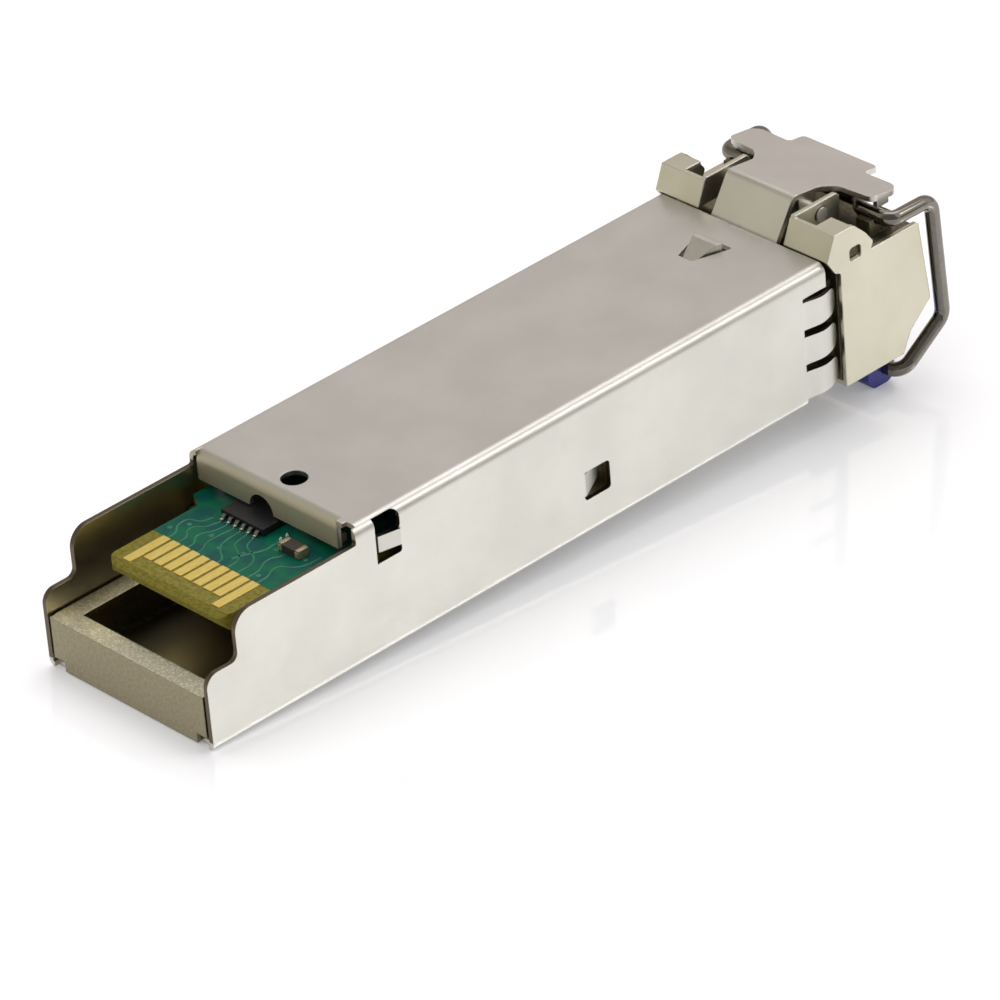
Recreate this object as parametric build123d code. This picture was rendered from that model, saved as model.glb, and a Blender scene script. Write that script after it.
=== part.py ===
from build123d import *
import math
import os

# A duplex optical transceiver that plugs into a cage, in millimetres.
# X runs across the module, Y along it towards the nose, +Z up to the latch side.
# The origin lies on the label face, midway across, below the shoulder of the latch boss.

# Overall sizes of the module
module_width = 13.4
module_height = 8.5
nose_extra_width = 0.3
shoulder_to_rear = 45.0
shoulder_to_stop = 2.5
shell_sheet = 0.3
top_bend_radius = 0.6
bottom_bend_radius = 0.45
running_gap = 0.05
case_fit_gap = 0.15

# Rear end of the case
rear_wall_height = 4.7
shelf_step = 1.0
wall_step_start = 2.3
rear_corner_radius = 0.8
step_corner_radius = 1.2
step_fillet_radius = 0.5
lid_start = 11.2
lip_above_chip = 0.1
lip_side_gap = 1.2
lip_gap_slant = 0.7
lip_notch_radius = 0.95
lip_notch_x = -0.95
flange_width = 1.2
flange_start = 0.3

# Features of the case
sight_hole_radius = 0.78
sight_hole_x = 0.22
sight_hole_from_lid = 1.55
hold_tab_from_lid = 1.4
hold_tab_length = 1.8
hold_tab_overlap = 0.1
hold_tab_height = 1.0
hold_tab_slot = 0.42
hold_tab_push = 0.3
hold_tab_gap = 0.4
side_window_start = 27.95
side_window_length = 2.0
side_window_low = 2.2
side_window_height = 1.8
catch_push = 0.5
catch_tip_gap = 0.5
window_corner_radius = 0.25
finger_setback = 1.9
finger_tip_gap = 0.2
finger_thickness = 0.25
finger_bulge = 0.2
finger_tip_dip = 0.3
finger_slot_width = 0.46
finger_count = 3
finger_low = 0.3
finger_top_margin = 1.45
finger_crest = 0.45
finger_tip_rounding = 0.34

# Latch boss and its window
boss_height = 0.45
boss_length = 1.75
boss_front_width = 2.1
boss_rear_width = 0.9
boss_flat_length = 0.35
boss_ramp_drop = 0.25
window_clearance = 0.22
window_front_extra = 0.3

# Base housing
floor_below_card = 1.9
floor_thickness = 0.3
end_wall_thickness = 0.4
end_wall_side_gap = 0.2
end_wall_foot = 0.05
corner_notch_height = 0.66
floor_window_margin = 1.3
floor_window_start = 1.3
floor_window_length = 7.9
floor_past_window = 1.2
cross_wall_thickness = 0.8
low_rail_width = 0.35
rail_width = 1.0
front_rail_width = 0.35
rail_past_card = 1.0
rib_from_rear = 22.0
rib_height = 2.0
catch_pocket_margin = 0.2

# Label plate and label
label_plate_start = 0.5
label_plate_gap = 0.3
label_length = 30.0
label_margin = 0.65
label_thickness = 0.1

# Circuit board
card_height = 5.15
card_thickness = 1.0
card_side_gap = 0.4
card_rear = 3.2
tongue_length = 6.7
tongue_side_margin = 0.9
tongue_shoulder = 0.6
card_length = 30.4
card_corner_radius = 0.7
card_bevel = 0.35
pad_count = 10
pad_pitch = 0.8
pad_width = 0.6
pad_thickness = 0.04
pad_end_from_edge = 3.4
outer_pad_length = 2.95
inner_pad_length = 2.15

# Parts on the board
driver_chip_size = 3.4
driver_chip_x = -1.25
driver_chip_past_tongue = 0.1
driver_chip_thickness = 0.45
chip_standoff = 0.05
chip_thickness = 0.9
leg_count = 6
leg_pitch = 0.535
leg_width = 0.25
leg_length = 0.45
leg_height = 0.25
amplifier_size = 4.0
amplifier_x = 2.6
amplifier_from_driver = 13.9
memory_length = 3.0
memory_width = 2.0
memory_from_driver = 7.9
capacitor_length = 1.6
capacitor_width = 0.8
capacitor_height = 0.5
resistor_length = 1.0
resistor_width = 0.5
resistor_height = 0.35
placement_grid = 0.1
capacitor_places = [(29, 0), (34, 23), (-43, 25), (-32, 104), (26, 97), (-36, 173)]
resistor_places = [(32, 45), (32, 55), (-42, 49), (-10, 63), (6, 63), (-34, 137), (-34, 149)]

# Optics
port_pitch = 6.25
optical_axis_height = 3.95
ferrule_bore_radius = 0.6255
sleeve_wall = 0.18
sleeve_gap = 0.02
sleeve_slit = 0.25
sleeve_length = 3.6
sleeve_recess = 0.1
stub_radius = 1.0
stub_length = 2.2
stub_recess = 0.1
beam_hole_radius = 0.4255
optics_gap = 0.075
barrel_nose_length = 4.0
barrel_nose_radius = 1.475
barrel_flange_step = 0.1
barrel_flange_length = 1.4
barrel_body_step = 0.7
barrel_cup_length = 3.8
barrel_rear_length = 8.8
can_header_length = 1.2
can_cap_step = 0.4
can_cap_length = 2.8
can_cap_clearance = 0.1
lead_radius = 0.2
lead_circle_radius = 1.27
lead_length = 1.6
clamp_thickness = 1.4
clamp_height = 6.3
flex_thickness = 0.15
flex_width = 4.4
flex_bend_radius = 0.5
flex_overlap = 3.0
flex_standoff = 0.55
flex_margin = 0.6

# Nose block and its ports
receptacle_inside = 1.5
receptacle_nose_length = 6.3
receptacle_wall = 1.2
receptacle_edge_radius = 0.3
port_roof = 0.525
port_size = 4.65
port_key_width = 2.6
port_key_depth = 0.85
port_key_start = 2.0
port_catch_length = 1.2
port_catch_side = 0.5
port_catch_from_front = 3.2
nose_chamfer_length = 2.0
nose_chamfer_height = 1.7

# Nose frame
nose_plate_gap = 1.1
nose_plate_step = 0.55
nose_plate_top_length = 6.4
nose_plate_low_length = 7.1
nose_plate_bottom_length = 4.7
nose_plate_chamfer_top = 2.7
nose_plate_corner_rise = 1.3
nose_plate_corner_run = 0.7
nose_bottom_setback = 0.6
ear_side_gap = 0.8
ear_height = 1.5
ear_lean = 0.7
ear_flange_depth = 1.5
ear_flange_width = 1.65
ear_inner_flange_length = 4.4
ear_inner_flange_rise = 0.15
ear_neck = 0.65
hook_length = 3.8
hook_rise = 0.45
hook_drop = 0.85
hook_slope = 1.5
hook_notch_from_stop = 1.85
hook_notch_length = 0.95
hook_notch_height = 0.75
hook_notch_radius = 0.25

# Latch rocker
rocker_sheet = 0.35
rocker_bend_radius = 0.45
rocker_pivot_from_stop = 2.9
rocker_pivot_rise = 0.9
rocker_pivot_radius = 0.45
arm_past_boss = 0.25
arm_width = 4.0
arm_gap = 0.095
ramp_foot_gap = 0.25
ramp_length = 1.65
ramp_width = 5.2
plateau_rise = 1.95
plateau_length = 6.5
plateau_drop = 0.8
wing_setback = 1.1
wing_length = 2.5
wing_side_gap = 0.4
front_tab_width = 5.9
wing_turn_depth = 0.55
wing_turn_inset = 0.6
wing_turn_length = 0.9
rocker_side_back = 0.65
rocker_side_length = 1.4
rocker_side_depth = 0.6

# Leaf spring
spring_thickness = 0.15
spring_width = 3.0
spring_foot_inset = 0.8
spring_foot_length = 1.4
spring_reach = 1.8
spring_tip_length = 0.5
spring_tip_drop = 0.15
spring_gap = 0.02

# Bail
wire_radius = 0.45
bail_pivot_from_stop = 5.5
bail_pivot_rise = 0.35
bail_side_inset = 0.25
bail_front_gap = 0.2
bail_slant = 0.55
bail_corner_height = 0.9
bail_bar_forward = 0.3
bail_bar_gap = 0.95
bail_bend_radius = 0.9
bail_shoulder_radius = 0.675
crank_offset = 0.65
crank_half_length = 3.6
crank_jog = 0.7
crank_bend_radius = 0.6
wire_end_gap = 0.8
journal_inner = 4.75
cradle_width = 1.05
cradle_half_length = 0.9
grip_side_gap = 1.2
grip_depth = 2.2
grip_height = 1.8
grip_setback = 0.45
grip_drop = 0.1
grip_rounding = 0.75

# A hair of overlap that joins two parts of one solid
join = 0.1


def from_rear(distance):
    """Y of a place that is measured from the rear end of the module."""
    return distance - shoulder_to_rear


# Heights and half widths that several pieces share
half_width = module_width / 2
inner_half_width = half_width - shell_sheet
inner_top = module_height - shell_sheet
rail_inner = inner_half_width - case_fit_gap
card_top = card_height + card_thickness
floor_height = card_height - floor_below_card
lip_low = card_top + driver_chip_thickness + lip_above_chip
lip_near_end = inner_half_width - lip_side_gap
lip_far_end = -half_width + top_bend_radius
hold_tab_low = card_top - hold_tab_overlap
hold_tab_high = hold_tab_low + hold_tab_height
finger_high = module_height - finger_top_margin
boss_top = module_height + boss_height
half_nose = half_width + nose_extra_width / 2
inner_half_nose = half_nose - shell_sheet
nose_plate_top = module_height - nose_plate_step
nose_top = nose_plate_top - running_gap
receptacle_low_top = optical_axis_height + port_size / 2 + port_roof
receptacle_rear_half = half_width - finger_thickness - finger_tip_dip - case_fit_gap - running_gap
optics_radius = min(port_pitch / 2, rail_inner - front_rail_width - port_pitch / 2) - optics_gap
can_cap_radius = optics_radius - can_cap_step
barrel_body_radius = optics_radius - barrel_body_step
label_plate_half = half_width - flange_width - running_gap
arm_height = inner_top - arm_gap - rocker_sheet / 2
rocker_pivot_height = module_height + rocker_pivot_rise
plateau_height = module_height + plateau_rise
ear_inner = ramp_width / 2 + ear_side_gap
bail_half = half_nose - bail_side_inset
bail_pivot_height = module_height + bail_pivot_rise
bail_bar_height = -bail_bar_gap - wire_radius
wing_half = bail_half - wire_radius - wing_side_gap

# Places along Y that several pieces share
case_front = from_rear(shoulder_to_rear) + shoulder_to_stop
lid_y = from_rear(lid_start)
card_rear_y = from_rear(card_rear)
card_end_y = card_rear_y + card_length
tongue_end_y = card_rear_y + tongue_length
driver_chip_y = tongue_end_y + driver_chip_past_tongue
cavity_end_y = from_rear(floor_window_start + floor_window_length + floor_past_window)
nose_plate_rear_y = case_front + nose_plate_gap
nose_plate_front_y = nose_plate_rear_y + nose_plate_low_length
finger_root_y = case_front - finger_setback
finger_tip_y = nose_plate_rear_y - finger_tip_gap
receptacle_rear_y = case_front - receptacle_inside
receptacle_step_y = nose_plate_rear_y - running_gap
receptacle_front_y = nose_plate_rear_y + receptacle_nose_length
barrel_tip_y = receptacle_rear_y + barrel_nose_length
barrel_cup_y = receptacle_rear_y - barrel_rear_length
can_start_y = barrel_cup_y - can_header_length
sleeve_start_y = barrel_tip_y - sleeve_recess - sleeve_length
rocker_pivot_y = case_front + rocker_pivot_from_stop
ramp_foot_y = case_front + ramp_foot_gap
plateau_start_y = ramp_foot_y + ramp_length
plateau_front_y = plateau_start_y + plateau_length
wing_end_y = plateau_front_y - wing_setback
wing_start_y = wing_end_y - wing_length
bail_pivot_y = case_front + bail_pivot_from_stop
bail_bar_y = bail_pivot_y + bail_bar_forward
bail_front_y = nose_plate_front_y + wire_radius + bail_front_gap


def block(x_range, y_range, z_range):
    """Box between two corners, each range given as low and high."""
    size = (x_range[1] - x_range[0], y_range[1] - y_range[0], z_range[1] - z_range[0])
    low = Align.MIN
    return Pos(x_range[0], y_range[0], z_range[0]) * Box(*size, align=(low, low, low))


def outline(points, radii=0):
    """Closed flat face through the points, with a radius at each corner."""
    corners = [radii] * len(points) if isinstance(radii, (int, float)) else radii
    if not any(corners):
        return make_face(Polyline(*points, close=True))
    return make_face(FilletPolyline(*points, radius=corners, close=True))


def across(face, low, high):
    """Face drawn in Y and Z, made solid from low to high along X."""
    return extrude(Plane.YZ.offset(low) * face, amount=high - low)


def upward(face, low, high):
    """Face drawn in X and Y, made solid from low to high along Z."""
    return extrude(Plane.XY.offset(low) * face, amount=high - low)


def along(face, low, high):
    """Face drawn in X and Z, made solid from low to high along Y."""
    front = Plane((0, high, 0), x_dir=(1, 0, 0), z_dir=(0, -1, 0))
    return extrude(front * face, amount=high - low)


def rod_along(x, z, low, high, radius):
    """Round rod parallel to Y."""
    middle = Pos(x, (low + high) / 2, z)
    return middle * Rot(90, 0, 0) * Cylinder(radius, high - low)


def rod_across(y, z, low, high, radius):
    """Round rod parallel to X."""
    middle = Pos((low + high) / 2, y, z)
    return middle * Rot(0, 90, 0) * Cylinder(radius, high - low)


def strip(path, thickness):
    """Flat face of a folded sheet whose middle line is the path."""
    return trace(path, line_width=thickness)


def both_sides(piece):
    """The piece and its mirror image across the module's middle plane."""
    return piece + mirror(piece, about=Plane.YZ)


# Case


def shell_tube():
    """Folded channel: latch-side face, side walls and turned-in bottom flanges."""
    corners = [(-half_width, 0), (half_width, 0), (half_width, module_height), (-half_width, module_height)]
    inside = [
        (-inner_half_width, shell_sheet),
        (inner_half_width, shell_sheet),
        (inner_half_width, inner_top),
        (-inner_half_width, inner_top),
    ]
    bends = [bottom_bend_radius] * 2 + [top_bend_radius] * 2
    section = outline(corners, bends) - outline(inside, [radius - shell_sheet for radius in bends])
    tube = along(section, from_rear(0), case_front)
    slot_edge = half_width - flange_width
    tube = tube - block((-slot_edge, slot_edge), (from_rear(-1), case_front + 1), (-1, shell_sheet + join))
    flange_edge = inner_half_width - join
    return tube - block((-flange_edge, flange_edge), (from_rear(-1), from_rear(flange_start)), (-1, 1))


def rear_trim():
    """What is cut away behind the lid, down to the stepped tops of the side walls."""
    rear = from_rear(0)
    step = from_rear(wall_step_start)
    shelf = module_height - shelf_step
    points = [
        (rear - 1, -1),
        (rear, -1),
        (rear, rear_wall_height),
        (step, rear_wall_height),
        (step, shelf),
        (lid_y, shelf),
        (lid_y, module_height + 1),
        (rear - 1, module_height + 1),
    ]
    radii = [0, 0, rear_corner_radius, step_fillet_radius, step_corner_radius, shell_sheet / 2, 0, 0]
    return across(outline(points, radii), -half_width - 1, half_width + 1)


def rear_lip():
    """Hanging lip at the lid's rear edge, with a half-round notch in it."""
    middle = shell_sheet / 2
    path = FilletPolyline(
        (lid_y + middle, lip_low),
        (lid_y + middle, module_height - middle),
        (lid_y + 4 * top_bend_radius, module_height - middle),
        radius=top_bend_radius - middle,
    )
    lip = across(strip(path, shell_sheet), lip_far_end, lip_near_end)
    return lip - rod_along(lip_notch_x, lip_low, lid_y - 1, lid_y + 1, lip_notch_radius)


def lip_bend_room():
    """Corner of the lid that the lip's bend takes the place of."""
    return block((lip_far_end, lip_near_end), (lid_y - 1, lid_y + top_bend_radius), (lip_low, module_height + 1))


def lip_corner_gap():
    """Opening between the end of the lip and the near wall."""
    points = [
        (lip_near_end, lip_low - 1),
        (inner_half_width, lip_low - 1),
        (inner_half_width, module_height + 1),
        (lip_near_end + lip_gap_slant, module_height + 1),
    ]
    return along(outline(points), lid_y - 1, lid_y + shell_sheet)


def hold_tab_cuts():
    """Openings above and below the tab beside the board's edge."""
    start = lid_y + hold_tab_from_lid
    end = start + hold_tab_length
    low = hold_tab_low - hold_tab_slot
    top = module_height - 0.1
    inner = inner_half_width - join
    upper_points = [(start, hold_tab_high), (end, hold_tab_high), (end, top), (start, top)]
    upper = across(outline(upper_points, [0, 0.4, 0.5, 0]), inner_half_width - top_bend_radius, half_width + 1)
    lower_points = [(start, low), (end, low), (end, hold_tab_low), (start, hold_tab_low)]
    lower = across(outline(lower_points, [0, 0.2, 0, 0]), inner, half_width + 1)
    face = block((inner, half_width + 1), (start, end), (hold_tab_low - join, hold_tab_high + join))
    return upper + lower + face


def hold_tab():
    """Tab bent inwards from its front root."""
    start = lid_y + hold_tab_from_lid + hold_tab_gap
    root = lid_y + hold_tab_from_lid + hold_tab_length
    points = [
        (half_width, root + join),
        (half_width - shell_sheet, root + join),
        (half_width - shell_sheet - hold_tab_push, start),
        (half_width - hold_tab_push, start),
        (half_width, root),
    ]
    return upward(outline(points), hold_tab_low, hold_tab_high)


def side_catch():
    """Window in the side wall and the catch tab bent in from its rear edge."""
    start = from_rear(side_window_start)
    end = start + side_window_length
    low = side_window_low
    high = side_window_low + side_window_height
    corners = [(start, low), (end, low), (end, high), (start, high)]
    opening = across(outline(corners, window_corner_radius), inner_half_width - join, half_width + 1)
    points = [
        (half_width, start - join),
        (half_width, start + join),
        (half_width - catch_push, end - catch_tip_gap),
        (half_width - catch_push - shell_sheet, end - catch_tip_gap),
        (half_width - shell_sheet, start + join),
        (half_width - shell_sheet, start - join),
    ]
    root_low = low + side_window_height / 6
    tip_low = low + side_window_height / 2
    tab_points = [(start - 0.2, root_low), (start + 0.3, root_low), (end, tip_low), (end, high - join), (start - 0.2, high - join)]
    tab = upward(outline(points), low, high) & across(outline(tab_points), half_width - 2, half_width + 1)
    return opening, tab


def finger_zone():
    """Part of a side wall that the spring fingers replace."""
    return block(
        (half_width - flange_width - join, half_width + 1),
        (finger_root_y, case_front + 2),
        (-1, finger_high),
    )


def spring_finger(index):
    """One bulging finger with a rounded tip, counted from the label side."""
    pitch = (finger_high - finger_low) / finger_count
    low = finger_low + index * pitch + finger_slot_width / 2
    high = finger_low + (index + 1) * pitch - finger_slot_width / 2
    middle = half_width - finger_thickness / 2
    bulge_y = finger_root_y + finger_crest * (finger_tip_y - finger_root_y)
    path = Spline(
        (middle, finger_root_y - 0.3),
        (middle + finger_bulge, bulge_y),
        (middle - finger_tip_dip, finger_tip_y),
        tangents=[(0, 1), (-0.5, 1)],
    )
    sheet = upward(strip(path, finger_thickness), low - 1, high + 1)
    rear = finger_root_y - 0.2
    points = [(rear, low), (finger_tip_y, low), (finger_tip_y, high - 0.15), (rear, high)]
    tip_radius = (high - low) * finger_tip_rounding
    return sheet & across(outline(points, [0, tip_radius, tip_radius, 0]), half_width - 2, half_width + 2)


def boss_window():
    """Trapezoid window that the latch boss rises through."""
    front = window_clearance + window_front_extra
    rear = -boss_length - window_clearance
    half_front = boss_front_width / 2 + window_clearance
    half_rear = boss_rear_width / 2 + window_clearance / 2
    points = [(-half_rear, rear), (half_rear, rear), (half_front, front - window_clearance)]
    points += [(half_front, front), (-half_front, front), (-half_front, front - window_clearance)]
    return upward(outline(points, 0.1), inner_top - 0.5, module_height + 1)


def outer_shell():
    """Stamped and folded sheet case, one piece."""
    shell = shell_tube() - rear_trim() - lip_bend_room() + rear_lip() - lip_corner_gap()
    hole = Pos(sight_hole_x, lid_y + sight_hole_from_lid, module_height) * Cylinder(sight_hole_radius, 2)
    shell = shell - hole - boss_window()
    opening, catch = side_catch()
    shell = shell - both_sides(opening + hold_tab_cuts() + finger_zone())
    shell = shell + both_sides(hold_tab() + catch)
    for index in range(finger_count):
        shell = shell + both_sides(spring_finger(index))
    return shell


# Base housing, label plate and label


def base_housing():
    """Cast tray: raised rear floor and end wall, side rails, ribs."""
    rear = from_rear(0)
    wall_front = rear + end_wall_thickness
    wide_end = card_end_y + rail_past_card
    foot = shell_sheet
    half_end = inner_half_width - end_wall_side_gap
    floor = block((-rail_inner, rail_inner), (rear, cavity_end_y), (floor_height - floor_thickness, floor_height))
    half_window = rail_inner - floor_window_margin
    window_start = from_rear(floor_window_start)
    window = block((-half_window, half_window), (window_start, window_start + floor_window_length), (0, floor_height + 1))
    end_wall = block((-half_end, half_end), (rear, wall_front), (end_wall_foot, floor_height))
    notch_inner = half_width - flange_width - 0.12
    notch = block((notch_inner, half_width), (rear - 1, rear + 1), (-1, corner_notch_height))
    floor_sides = both_sides(block((half_end, half_width), (rear - 1, wall_front), (0, floor_height + 1)))
    rear_box = floor - window - floor_sides + end_wall - both_sides(notch)
    low_rail = block((rail_inner - low_rail_width, rail_inner), (wall_front, cavity_end_y), (foot, floor_height))
    rail = block((rail_inner - rail_width, rail_inner), (cavity_end_y, wide_end), (foot, card_height))
    front_rail = block((rail_inner - front_rail_width, rail_inner), (wide_end, receptacle_rear_y), (foot, card_height))
    cross = block((-rail_inner, rail_inner), (cavity_end_y, cavity_end_y + cross_wall_thickness), (foot, card_height))
    rib_y = from_rear(rib_from_rear)
    rib = block((-rail_inner, rail_inner), (rib_y, rib_y + cross_wall_thickness), (foot, rib_height))
    body = rear_box + both_sides(low_rail + rail + front_rail) + cross + rib
    start = from_rear(side_window_start)
    margin = catch_pocket_margin
    pocket = block(
        (half_width - catch_push - shell_sheet - margin, half_width),
        (start - join - margin, start + side_window_length + margin),
        (side_window_low - margin, side_window_low + side_window_height + margin),
    )
    return body - both_sides(pocket)


def label_plate():
    """Flat cover of the label side, recessed for the label."""
    rear = from_rear(label_plate_start)
    front = nose_plate_rear_y - label_plate_gap
    plate = block((-label_plate_half, label_plate_half), (rear, front), (0, shell_sheet))
    return plate - label_box()


def label_box():
    """Room that the label fills, near the middle of the plate."""
    middle = (from_rear(label_plate_start) + nose_plate_rear_y - label_plate_gap) / 2
    half = label_plate_half - label_margin
    return block((-half, half), (middle - label_length / 2, middle + label_length / 2), (0, label_thickness))


def label_sheet():
    """Bare adhesive label."""
    return label_box()


# Circuit board


def circuit_board():
    """Card with a narrow bevelled tongue at the rear."""
    rear = card_rear_y
    tongue = (pad_count - 1) * pad_pitch / 2 + pad_width / 2 + tongue_side_margin
    half = rail_inner - card_side_gap
    shoulder = tongue_end_y + tongue_shoulder
    points = [(-tongue, rear), (tongue, rear), (tongue, tongue_end_y), (half, shoulder), (half, card_end_y)]
    points += [(-half, card_end_y), (-half, shoulder), (-tongue, tongue_end_y)]
    radii = [card_corner_radius] * 2 + [0] * 6
    card = upward(outline(points, radii), card_height, card_top)
    for height, direction in ((card_top, 1), (card_height, -1)):
        wedge = outline(
            [
                (rear - 0.01, height - direction * card_bevel),
                (rear + card_bevel, height + direction * 0.01),
                (rear - 0.01, height + direction * 0.01),
            ]
        )
        card = card - across(wedge, -half, half)
    return card


def pad_row(low, high):
    """Contact pads, the outermost two reaching closer to the card's edge."""
    pads = Part()
    front = card_rear_y + pad_end_from_edge
    for index in range(pad_count):
        x = (index - (pad_count - 1) / 2) * pad_pitch
        outermost = index in (0, pad_count - 1)
        length = outer_pad_length if outermost else inner_pad_length
        pads += block((x - pad_width / 2, x + pad_width / 2), (front - length, front), (low, high))
    return pads


def latch_side_pads():
    return pad_row(card_top, card_top + pad_thickness)


def label_side_pads():
    return pad_row(card_height - pad_thickness, card_height)


def driver_chip():
    """Square chip just inside the lid."""
    half = driver_chip_size / 2
    x_range = (driver_chip_x - half, driver_chip_x + half)
    y_range = (driver_chip_y, driver_chip_y + driver_chip_size)
    return block(x_range, y_range, (card_top + chip_standoff, card_top + driver_chip_thickness))


def chip_legs():
    """Rows of legs in front of and behind the driver chip."""
    legs = Part()
    far = driver_chip_y + driver_chip_size
    for index in range(leg_count):
        x = driver_chip_x + (index - (leg_count - 1) / 2) * leg_pitch
        x_range = (x - leg_width / 2, x + leg_width / 2)
        legs += block(x_range, (driver_chip_y - leg_length, driver_chip_y), (card_top, card_top + leg_height))
        legs += block(x_range, (far, far + leg_length), (card_top, card_top + leg_height))
    return legs


def amplifier_chip():
    """Receive amplifier, farther inside."""
    y = driver_chip_y + amplifier_from_driver
    half = amplifier_size / 2
    x_range = (amplifier_x - half, amplifier_x + half)
    return block(x_range, (y - half, y + half), (card_top, card_top + chip_thickness))


def memory_chip():
    """Identification memory on the label side of the board."""
    y = driver_chip_y + memory_from_driver
    half = memory_width / 2
    return block((-half, half), (y, y + memory_length), (card_height - chip_thickness, card_height))


def small_chips(places, length, width, height):
    """Chip components as separate blocks, placed on a grid that starts at the driver chip."""
    chips = Part()
    for column, row in places:
        x = column * placement_grid
        y = driver_chip_y + row * placement_grid
        chips += block((x - length / 2, x + length / 2), (y - width / 2, y + width / 2), (card_top, card_top + height))
    return chips


def chip_capacitors():
    return small_chips(capacitor_places, capacitor_length, capacitor_width, capacitor_height)


def chip_resistors():
    return small_chips(resistor_places, resistor_length, resistor_width, resistor_height)


# Optics, one set at each port


def lead_places(x):
    """Centres of the four leads of the can on the optical axis at x."""
    angles = [math.radians(angle) for angle in (45, 135, 225, 315)]
    circle = lead_circle_radius
    return [(x + circle * math.cos(a), optical_axis_height + circle * math.sin(a)) for a in angles]


def optical_can(x):
    """Sealed can: header disc, cap and leads."""
    z = optical_axis_height
    can = rod_along(x, z, can_start_y, barrel_cup_y, optics_radius)
    can += rod_along(x, z, barrel_cup_y - join, barrel_cup_y + can_cap_length, can_cap_radius)
    for lead_x, lead_z in lead_places(x):
        can += rod_along(lead_x, lead_z, can_start_y - lead_length, can_start_y + join, lead_radius)
    return can


def optical_barrel(x):
    """Turned barrel: cup for the can, body, flange and a nose with the sleeve bore."""
    z = optical_axis_height
    cup_end = barrel_cup_y + barrel_cup_length
    flange_end = receptacle_rear_y
    pocket_end = barrel_cup_y + can_cap_length + can_cap_clearance
    barrel = rod_along(x, z, barrel_cup_y, cup_end, optics_radius)
    barrel += rod_along(x, z, cup_end - join, flange_end, barrel_body_radius)
    barrel += rod_along(x, z, flange_end - barrel_flange_length, flange_end, optics_radius - barrel_flange_step)
    barrel += rod_along(x, z, flange_end - join, barrel_tip_y, barrel_nose_radius)
    barrel -= rod_along(x, z, barrel_cup_y - 1, pocket_end, can_cap_radius + running_gap)
    barrel -= rod_along(x, z, sleeve_start_y, barrel_tip_y + 1, ferrule_bore_radius + sleeve_wall + sleeve_gap)
    stub_end = sleeve_start_y - stub_recess
    barrel -= rod_along(x, z, stub_end - stub_length, sleeve_start_y + join, stub_radius)
    return barrel - rod_along(x, z, barrel_cup_y, stub_end, beam_hole_radius)


def ferrule_sleeve(x):
    """Split ceramic sleeve that lines up the plug's ferrule with the stub."""
    z = optical_axis_height
    start = sleeve_start_y
    end = start + sleeve_length
    sleeve = rod_along(x, z, start, end, ferrule_bore_radius + sleeve_wall)
    sleeve -= rod_along(x, z, start - 1, end + 1, ferrule_bore_radius)
    slit = block((x - sleeve_slit / 2, x + sleeve_slit / 2), (start - 1, end + 1), (z, z + 2))
    return sleeve - slit


def fibre_stub(x):
    """Polished fibre stub with its holder ring, pressed into the barrel behind the sleeve."""
    end = sleeve_start_y - stub_recess
    return rod_along(x, optical_axis_height, end - stub_length, end, stub_radius)


def flex_circuit(x):
    """Flex from the can's leads, bent over onto the top of the board."""
    back = can_start_y - flex_standoff
    low = optical_axis_height - lead_circle_radius - flex_margin
    top = card_top + flex_thickness / 2
    path = FilletPolyline((back, low), (back, top), (card_end_y - flex_overlap, top), radius=flex_bend_radius)
    flex = across(strip(path, flex_thickness), x - flex_width / 2, x + flex_width / 2)
    for lead_x, lead_z in lead_places(x):
        flex -= rod_along(lead_x, lead_z, back - 1, back + 1, lead_radius)
    return flex


def optics_clamp():
    """Plate that presses both barrel flanges against the nose block."""
    end = receptacle_rear_y - barrel_flange_length
    start = end - clamp_thickness
    low = shell_sheet
    half = rail_inner - front_rail_width - running_gap
    clamp = block((-half, half), (start, end), (low, low + clamp_height))
    for x in (-port_pitch / 2, port_pitch / 2):
        clamp -= rod_along(x, optical_axis_height, start - 1, end + 1, barrel_body_radius + running_gap)
    return clamp


# Nose


def receptacle_body():
    """Cast nose block with two plug ports and the cradles for the bail's journals."""
    rear = receptacle_rear_y
    step = receptacle_step_y
    front = receptacle_front_y
    foot = shell_sheet
    round_off = receptacle_edge_radius
    low_points = [(rear, foot), (step + join, foot), (step + join, receptacle_low_top), (rear, receptacle_low_top)]
    body = across(outline(low_points), -receptacle_rear_half, receptacle_rear_half)
    nose_points = [
        (step, foot),
        (front - nose_chamfer_length, foot),
        (front, foot + nose_chamfer_height),
        (front, nose_top),
        (step, nose_top),
    ]
    half_body = inner_half_nose - running_gap
    body += across(outline(nose_points, [0] + [round_off] * 4), -half_body, half_body)
    for x in (-port_pitch / 2, port_pitch / 2):
        body -= plug_port(x)
    return body + both_sides(journal_cradle())


def plug_port(x):
    """One square port with its key slot, catch recess and the hole for the barrel."""
    z = optical_axis_height
    back = receptacle_rear_y + receptacle_wall
    front = receptacle_front_y
    half = port_size / 2
    port = block((x - half, x + half), (back, front + 1), (z - half, z + half))
    key_low = z - half - port_key_depth
    key_half = port_key_width / 2
    key = block((x - key_half, x + key_half), (back + port_key_start, front + 1), (key_low, z))
    catch_end = front - port_catch_from_front
    catch_half = key_half + port_catch_side
    catch = block((x - catch_half, x + catch_half), (catch_end - port_catch_length, catch_end), (key_low, z))
    hole = rod_along(x, z, receptacle_rear_y - 1, back + 1, barrel_nose_radius + running_gap)
    return port + key + catch + hole


def journal_cradle():
    """Block with a half-round groove in which one end of the bail's crank turns."""
    y = bail_pivot_y
    x_range = (journal_inner, journal_inner + cradle_width)
    y_range = (y - cradle_half_length, y + cradle_half_length)
    seat = block(x_range, y_range, (nose_top - join, bail_pivot_height))
    return seat - rod_across(y, bail_pivot_height, x_range[0] - 1, x_range[1] + 1, wire_radius + running_gap)


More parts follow.
